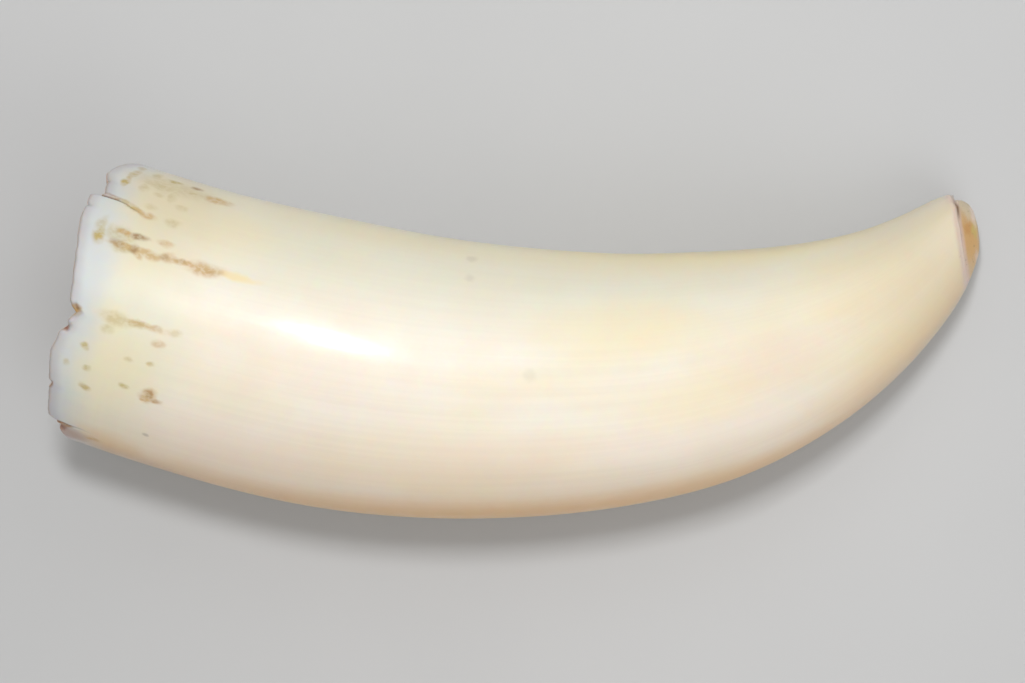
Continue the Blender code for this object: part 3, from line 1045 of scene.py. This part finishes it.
@dataclass
class WhaleTooth:
    """The tooth: its closed mesh from the end of the pulp cavity to the end of the point."""

    name: str = "polished_tooth"
    form: ToothForm = field(default_factory=ToothForm)
    point_break: PointBreak = field(default_factory=PointBreak)
    relief: SurfaceRelief = field(default_factory=SurfaceRelief)
    cracks: tuple[Crack, ...] = (
        Crack(
            ((3.7, 45.2), (5.2, 45.0), (6.8, 45.0), (8.5, 45.6), (10.0, 47.0), (12.5, 48.3)),
            half_width_mm=0.2, depth_mm=0.5, notch_mm=0.4,
        ),
        Crack(
            ((8.6, 150.8), (10.4, 151.2), (12.6, 150.7), (14.6, 151.4)),
            half_width_mm=0.22, depth_mm=0.35, notch_mm=0.2,
        ),
    )
    chips: tuple[Chip, ...] = (
        Chip(6.9, 95.2, 1.4, 0.7), Chip(6.5, 102.4, 1.0, 0.6), Chip(6.4, 128.7, 0.8, 0.4),
        Chip(9.1, 155.5, 1.1, 0.5), Chip(2.3, 52.0, 0.7, 0.3), Chip(3.2, 36.0, 0.7, 0.3),
    )
    chip_notch_mm: float = 0.35
    upper_step_mm: float = 0.28  # spacing of the columns where the tooth is seen from above
    lower_step_mm: float = 0.75
    seen_starts: Pair = (-25.0, -5.0)  # angles over which the one spacing turns into the other
    seen_ends: Pair = (188.0, 210.0)
    crack_step_mm: float = 0.07
    crack_reach_mm: float = 0.3  # how far beside a crack the columns lie that close
    crack_growth: float = 0.18  # how fast their spacing grows from there
    row_steps_mm: tuple[Pair, ...] = (
        # distance on a tooth 160 mm long, and the spacing of the rings there
        (0, 0.26), (9, 0.32), (30, 1.6), (132, 1.6), (148, 0.6), (160, 0.26),
    )  # fmt: skip
    rim_profile: tuple[Pair, ...] = (
        # how far behind the crest in mm, and share of the wall from outside to inside
        (0.45, 0.0), (0.20, 0.04), (0.07, 0.13), (0.0, 0.28), (0.02, 0.48), (0.09, 0.70),
        (0.20, 0.88),
    )  # fmt: skip
    rim_edge_mm: float = 0.45
    cavity_rows: int = 18
    cavity_bunching: float = 0.7  # less than 1 draws the cavity's rings to the rim
    break_rows: int = 34
    break_bunching: float = 1.25  # more than 1 draws the scar's rings to its border
    break_rows_end: float = 0.98  # how far in from the border its last ring lies
    bevel_mm: float = 1.3
    bevel_depth_mm: float = 0.3

    def columns(self) -> Array:
        """Angles of the mesh's columns in degrees, before any of them leans.

        Returns:
            Angles from the underside once round, closer together near the cracks.
        """
        places = np.linspace(-90, 270, 14401)
        per_degree = math.radians(UNROLLED_RADIUS_MM)
        below = 1 - eased(places, *self.seen_starts) + eased(places, *self.seen_ends)
        steps = self.upper_step_mm + (self.lower_step_mm - self.upper_step_mm) * below
        for crack in self.cracks:
            aside = np.abs(places - crack.anchor) * per_degree
            grown = self.crack_growth * np.maximum(aside - self.crack_reach_mm, 0)
            steps = np.minimum(steps, self.crack_step_mm + grown)
        return graded(places, steps / per_degree)[:-1]

    def leaned(self, base: Array, distance: Array) -> Array:
        """Angles of the columns in radians, at distances where they lean with the cracks."""
        lean = sum(crack.lean(base, distance) for crack in self.cracks)
        return np.radians(base + lean)

    def sunk(self, distance: Array, angle: Array) -> tuple[Array, Array]:
        """How deep the cracks and chips are at points of the outside.

        Args:
            distance: Distance of each point.
            angle: Angle of each point.

        Returns:
            The depth in mm, and how dirty the crack is, from 0 to 1.
        """
        cracks = [crack.depth(distance, angle) for crack in self.cracks]
        depths = [crack.depth_mm * share for crack, share in zip(self.cracks, cracks)]
        depths += [chip.depth_mm * chip.share(distance, angle) for chip in self.chips]
        return np.max(depths, axis=0), np.max(cracks, axis=0) ** 1.5

    def outside(self, distance: Array, angle: Array, border: Array) -> Rings:
        """Rings of the outside, with its cracks, its chips and the bevel at the break.

        Args:
            distance: Distance of each point.
            angle: Angle of each point.
            border: Distance of the break's border in each column.

        Returns:
            The rings.
        """
        inwards, crack = self.sunk(distance, angle)
        border_mm = (border - distance) / MM
        inwards = inwards + self.bevel_depth_mm * (1 - eased(border_mm, 0, self.bevel_mm))
        points = self.form.outer(distance, angle, inwards * MM)
        points, point_crack = self.point_break.cracked(points)
        rings = Rings.plain(points, distance, angle)
        rings.crack, rings.border_mm = np.maximum(crack, point_crack), border_mm
        return rings

    def rim_places(self, base: Array) -> tuple[Array, Array]:
        """Find where the rim lies in each column.

        Args:
            base: The columns' angles in degrees before they lean.

        Returns:
            Distance of the rim, and the column's angle there.
        """
        angle = np.radians(base)
        for _ in range(6):  # the rim and the lean settle each other
            start = self.form.rim(angle)
            angle = self.leaned(base, start)
        notches = [crack.notch_mm * crack.depth(start, angle) for crack in self.cracks]
        notches += [self.chip_notch_mm * chip.share(start, angle) for chip in self.chips]
        return start + sum(notches) * MM, angle

    def rim_and_cavity(self, start: Array, angle: Array) -> Rings:
        """Rings from near the cavity's narrow end out to the rim, and over its broken edge.

        Args:
            start: Distance of the rim in each column.
            angle: Angle of each column at the rim.

        Returns:
            The rings.
        """
        parts = []
        edge = self.rim_edge_mm * MM
        for row in range(1, self.cavity_rows + 1):
            share = (row / self.cavity_rows) ** self.cavity_bunching
            distance = self.form.cavity_depth + (start + edge - self.form.cavity_depth) * share
            rings = Rings.plain(self.form.cavity(distance, angle)[None], distance, angle)
            rings.inside = rings.inside + 1
            parts.append(rings)
        for behind, share in reversed(self.rim_profile):
            distance = start + behind * MM
            outer = self.outside(distance, angle, distance + 1).points
            inner = self.form.cavity(distance, angle)
            rings = Rings.plain((outer + (inner - outer) * share)[None], distance, angle)
            rings.broken = rings.broken + (share > 0.1)
            rings.crack = self.outside(distance, angle, distance + 1).crack[None]
            parts.append(rings)
        for rings in parts:
            rings.rim_mm = (rings.distance - start) / MM
        return Rings.joined(parts)

    def scar(self, border: Array, angle: Array) -> Rings:
        """Rings over the scar, drawn in from its border to its middle.

        Args:
            border: Distance of the break's border in each column.
            angle: Angle of each column there.

        Returns:
            The rings, all of them on the face and its lip.
        """
        edge = self.form.outer(border, angle, self.bevel_depth_mm * MM)
        middle = (edge.max(axis=0) + edge.min(axis=0)) / 2
        rows = np.arange(1, self.break_rows + 1)[:, None, None] / self.break_rows
        share = self.break_rows_end * rows**self.break_bunching
        points = self.point_break.laid(edge + (middle - edge) * share)
        points, crack = self.point_break.cracked(points)
        rings = Rings.plain(points, border, angle)
        rings.crack, rings.broken = crack, rings.broken + 1
        rings.border_mm = rings.border_mm * 0
        return rings

    def rings(self) -> Rings:
        """All rings of the mesh, from the end of the cavity to the middle of the scar."""
        base = self.columns()
        start, rim_angle = self.rim_places(base)
        far_angle = self.leaned(base, np.full(len(base), self.form.length))
        border = self.point_break.border(self.form, far_angle)
        knots, spacing = np.array(self.row_steps_mm).T
        places = np.linspace(0, knots[-1], 6401)
        steps = np.interp(places, knots, spacing)
        share = graded(places / knots[-1], steps / knots[-1])[1:, None]
        edge = self.rim_edge_mm * MM
        distance = start + edge + (border - start - edge) * share
        outside = self.outside(distance, self.leaned(base, distance), border)
        outside.rim_mm = (distance - start) / MM
        return Rings.joined(
            [self.rim_and_cavity(start, rim_angle), outside, self.scar(border, far_angle)]
        )

    def mesh(self) -> bpy.types.Mesh:
        """Build the smooth mesh, with the values that the relief and the finish read.

        Returns:
            The closed mesh, its faces outwards.
        """
        rings = self.rings()
        rows, columns = rings.distance.shape
        cavity_end = self.form.cavity(np.array(self.form.cavity_depth), np.array(0.0))
        ends = [cavity_end, rings.points[-1].mean(axis=0)]
        points = np.concatenate([rings.points.reshape(-1, 3), ends])
        here = np.arange(rows * columns).reshape(rows, columns)
        after = np.roll(here, -1, axis=1)
        quads = np.stack([here[:-1], after[:-1], after[1:], here[1:]], -1).reshape(-1, 4)
        first = np.full(columns, rows * columns)
        caps = [(after[0], here[0], first), (here[-1], after[-1], first + 1)]
        caps = np.concatenate([np.stack(cap, -1) for cap in caps])
        mesh = bpy.data.meshes.new(self.name)
        mesh.from_pydata(points.tolist(), [], quads.tolist() + caps.tolist())
        radius = UNROLLED_RADIUS_MM
        heading = self.form.heading(rings.distance)
        straight = (rings.distance / MM, radius * np.cos(rings.angle), radius * np.sin(rings.angle))
        zero = np.zeros_like(heading)
        values = {
            "straight_mm": np.stack(straight, -1),
            "along": np.stack([np.cos(heading), np.sin(heading), zero], -1),
            "scar_mm": self.point_break.place(rings.points) / MM,
            "rim_mm": rings.rim_mm,
            "border_mm": rings.border_mm,
            "crack": rings.crack,
            "broken": rings.broken,
            "inside": rings.inside,
        }
        for name, value in values.items():
            flat = value.reshape(rows * columns, -1)
            ends = [flat[:columns].mean(0), flat[-columns:].mean(0)]
            whole = np.concatenate([flat, ends]).astype(np.float32)
            kind, key = ("FLOAT_VECTOR", "vector") if whole.shape[1] == 3 else ("FLOAT", "value")
            mesh.attributes.new(name, kind, "POINT").data.foreach_set(key, whole.ravel())
        mesh.update()
        return mesh

    def build(self) -> bpy.types.Object:
        """Build the tooth and put it in the frame in place of the plain solid.

        Returns:
            The finished piece.
        """
        piece = bpy.data.objects.new(self.name, self.mesh())
        bpy.context.scene.collection.objects.link(piece)
        finishes = {
            "outside": PolishedDentine().material(),
            "inside": CavityWall().material(),
            "broken": BrokenDentine().material(),
        }
        self.relief.apply(piece, finishes)
        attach(piece, BODY)
        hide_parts("tooth")
        return piece


@dataclass
class Studio:
    """Pale floor, soft lights and the camera that looks straight down on the tooth."""

    floor_size: float = 6.0
    camera_place: Triple = (-0.0031, 0.0, 0.42)
    lens_mm: float = 79.0
    sensor_mm: float = 36.0
    key_place: Triple = (-0.024, 0.112, 0.43)
    key_size: Pair = (0.09, 0.045)
    key_turn: float = -68.0
    key_power: float = 0.89
    fill_places: tuple[Triple, ...] = ((0.28, -0.42, 0.4), (0.28, 0.42, 0.4))
    fill_size: Pair = (0.5, 0.5)
    fill_powers: Pair = (1.02, 0.7)
    aim: Triple = (0.0, 0.0, 0.02)
    sky: str = "#FFFCF8"
    horizon_strength: float = 0.23
    zenith_strength: float = 0.53

    def floor(self) -> bpy.types.Object:
        """Lay the floor under the tooth."""
        half, below = self.floor_size / 2, -0.05 * MM
        mesh = bpy.data.meshes.new("floor")
        ways = ((-1, -1), (1, -1), (1, 1), (-1, 1))
        mesh.from_pydata([(x * half, y * half, below) for x, y in ways], [], [(0, 1, 2, 3)])
        mesh.materials.append(MattBoard().material())
        floor = bpy.data.objects.new("floor", mesh)
        bpy.context.scene.collection.objects.link(floor)
        return floor

    def light(
        self, name: str, place: Triple, size: Pair, power: float, turn: float = 0.0
    ) -> bpy.types.Object:
        """Hang a soft light, aimed at the middle of the tooth.

        Args:
            name: The light's name.
            place: Where it hangs.
            size: Its length and breadth.
            power: Power in watts.
            turn: How far it is turned in its own plane, in degrees.

        Returns:
            The light.
        """
        data = bpy.data.lights.new(name, "AREA")
        data.shape, data.energy = "RECTANGLE", power
        data.size, data.size_y = size
        light = bpy.data.objects.new(name, data)
        bpy.context.scene.collection.objects.link(light)
        light.location = place
        aim = Vector(self.aim) - Vector(place)
        turned = Quaternion((0.0, 0.0, 1.0), math.radians(turn))
        light.rotation_euler = (aim.to_track_quat("-Z", "Y") @ turned).to_euler()
        return light

    def camera(self) -> bpy.types.Object:
        """Hold the camera over the tooth, its long side along X."""
        data = bpy.data.cameras.new("camera")
        data.lens, data.sensor_width = self.lens_mm, self.sensor_mm
        data.sensor_fit = "HORIZONTAL"
        data.clip_start, data.clip_end = 0.01, 20.0
        camera = bpy.data.objects.new("camera", data)
        bpy.context.scene.collection.objects.link(camera)
        camera.location = self.camera_place
        bpy.context.scene.camera = camera
        return camera

    def build(self) -> None:
        """Set up the floor, the lights, the sky and the camera."""
        self.floor()
        self.light("key light", self.key_place, self.key_size, self.key_power, self.key_turn)
        for place, power in zip(self.fill_places, self.fill_powers):
            self.light("fill light", place, self.fill_size, power)
        self.camera()
        world = bpy.data.worlds.new("studio")
        world.use_nodes = True
        world.node_tree.nodes.clear()
        tree = world.node_tree
        way = add(tree, "ShaderNodeTexCoord").outputs["Generated"]
        height = add(tree, "ShaderNodeSeparateXYZ", way).outputs["Z"]
        span = (0.0, 1.0, self.horizon_strength, self.zenith_strength)
        strength = add(tree, "ShaderNodeMapRange", height, *span)
        background = add(tree, "ShaderNodeBackground", linear(self.sky), strength)
        add(tree, "ShaderNodeOutputWorld", background)
        bpy.context.scene.world = world
        bpy.context.scene.view_settings.view_transform = "Standard"


def main() -> None:
    """Build the studio and the tooth."""
    logging.basicConfig(level=logging.INFO, format="%(name)s: %(message)s")
    Studio().build()
    piece = WhaleTooth().build()
    LOG.info("%s has %d faces", piece.name, len(piece.data.polygons))


if __name__ == "__main__":
    main()
